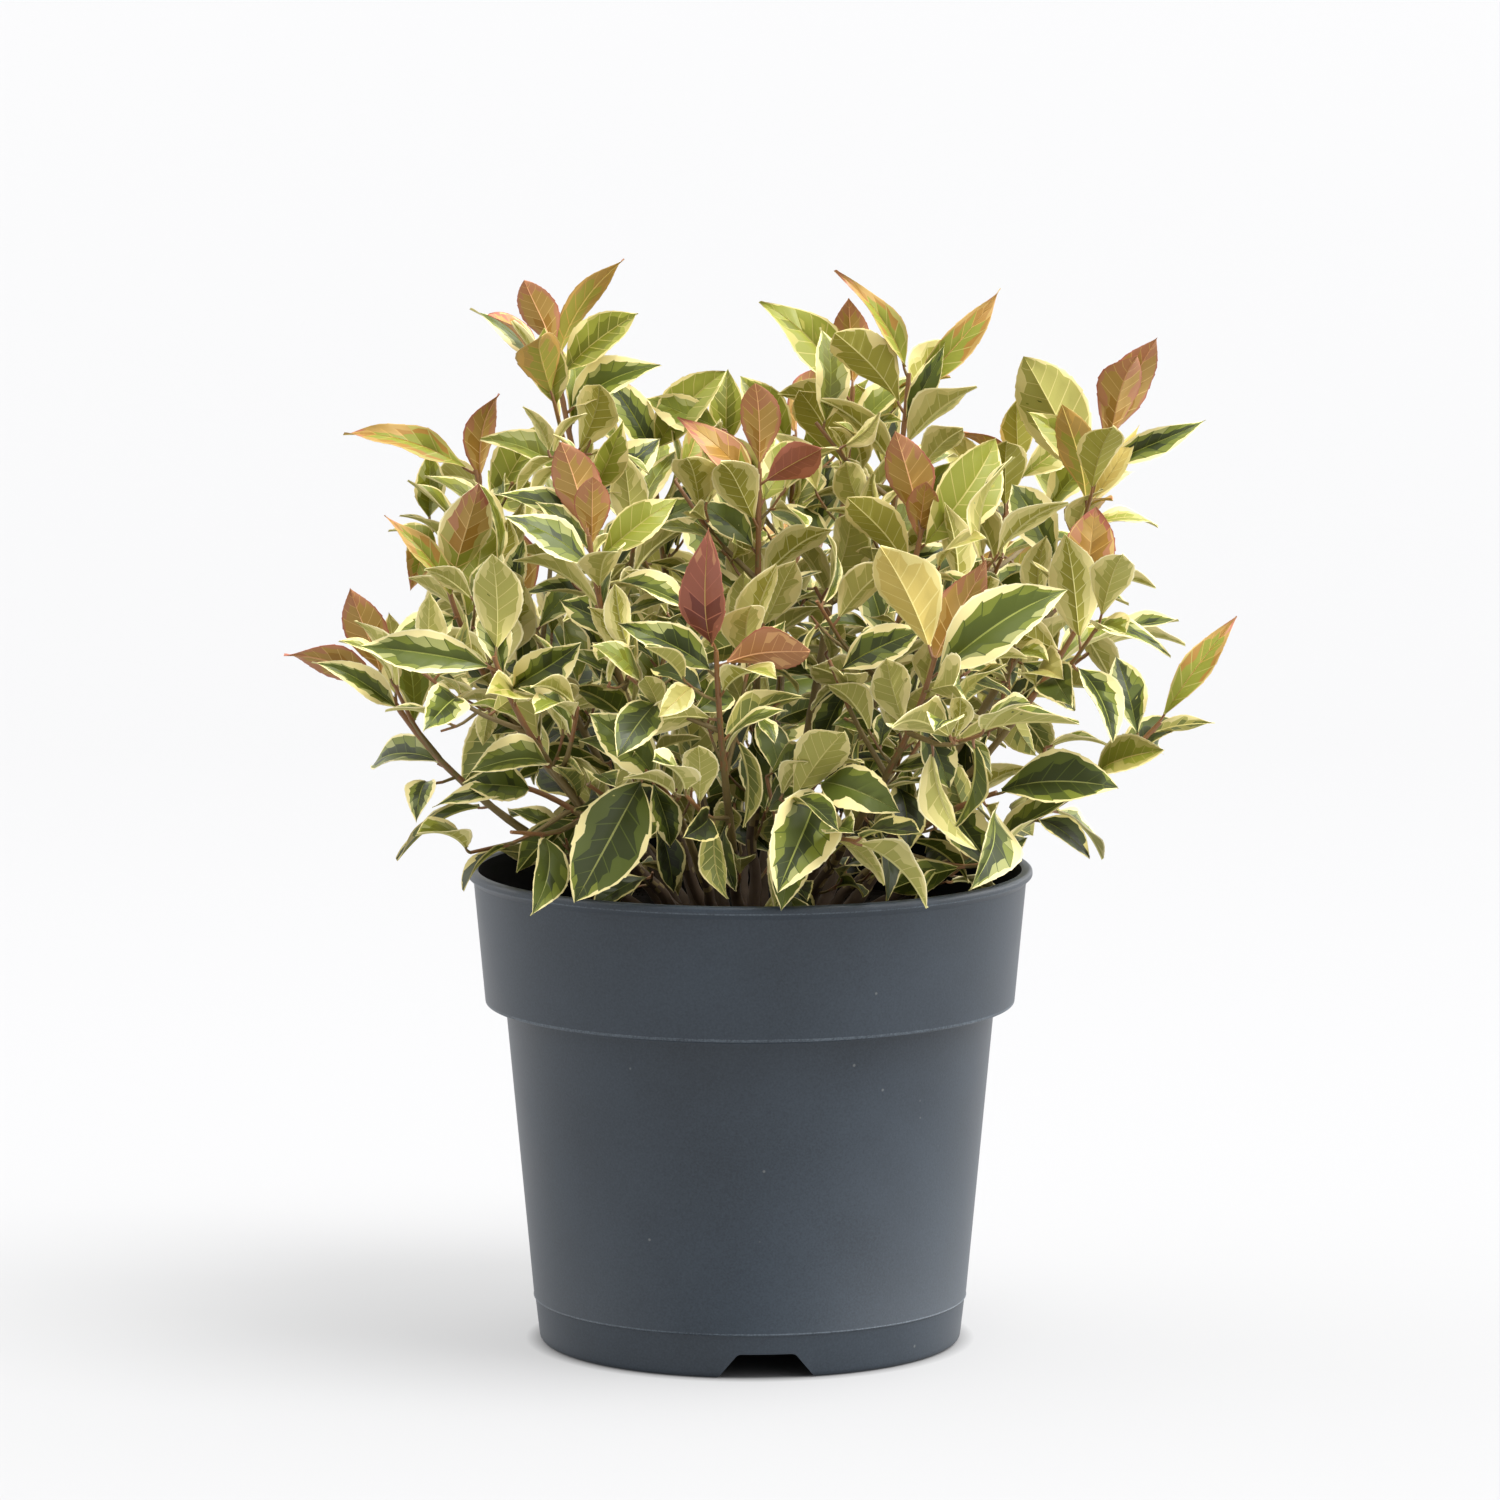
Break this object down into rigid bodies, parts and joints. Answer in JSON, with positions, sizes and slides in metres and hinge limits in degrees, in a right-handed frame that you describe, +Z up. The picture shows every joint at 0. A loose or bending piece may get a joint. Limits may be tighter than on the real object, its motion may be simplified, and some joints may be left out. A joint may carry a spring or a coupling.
{
  "type": "potted leucothoe shrub",
  "caption": "Low drooping leucothoe shrub with cream-edged green leaves and copper shoot tips, in a round dark grey nursery pot with a deep rim band.",
  "frame": {"origin": "on the ground under the middle of the whole plant's box; the pot's axis stands 4 mm to -X and 7.2 mm to -Y of it", "axes": "+Z up along the pot's axis, -Y towards the viewer of the reference picture, +X to that viewer's right"},
  "size_m": [0.3142, 0.2866, 0.3606],
  "materials": {
    "pot": "satin, fine-grained moulded polypropylene",
    "soil": "loose dark peat with bark",
    "stems": "thin bark",
    "leaves": "waxy leaves"
  },
  "bodies": {
    "root": {"pot": "pot", "soil": "soil", "bough_top_left": "stems", "foliage_top_left": "leaves", "bough_top_right": "stems", "foliage_top_right": "leaves", "bough_top_middle": "stems", "foliage_top_middle": "leaves", "bough_right_upper": "stems", "foliage_right_upper": "leaves", "bough_right_far": "stems", "foliage_right_far": "leaves", "bough_right_middle": "stems", "foliage_right_middle": "leaves", "bough_right_low": "stems", "foliage_right_low": "leaves", "bough_front_right": "stems", "foliage_front_right": "leaves", "bough_centre_right": "stems", "foliage_centre_right": "leaves", "bough_front_low_right": "stems", "foliage_front_low_right": "leaves", "bough_front_middle": "stems", "foliage_front_middle": "leaves", "bough_centre": "stems", "foliage_centre": "leaves", "bough_front_low_left": "stems", "foliage_front_low_left": "leaves", "bough_front_left": "stems", "foliage_front_left": "leaves", "bough_copper_left": "stems", "foliage_copper_left": "leaves", "bough_left_upper": "stems", "foliage_left_upper": "leaves", "bough_left_far": "stems", "foliage_left_far": "leaves", "bough_left_low": "stems", "foliage_left_low": "leaves", "bough_back_left": "stems", "foliage_back_left": "leaves", "bough_back_middle_left": "stems", "foliage_back_middle_left": "leaves", "bough_back_right": "stems", "foliage_back_right": "leaves", "bough_back_middle_right": "stems", "foliage_back_middle_right": "leaves", "bough_back_far_left": "stems", "foliage_back_far_left": "leaves", "bough_back_far": "stems", "foliage_back_far": "leaves", "bough_back_far_right": "stems", "foliage_back_far_right": "leaves"}
  },
  "joints": []
}
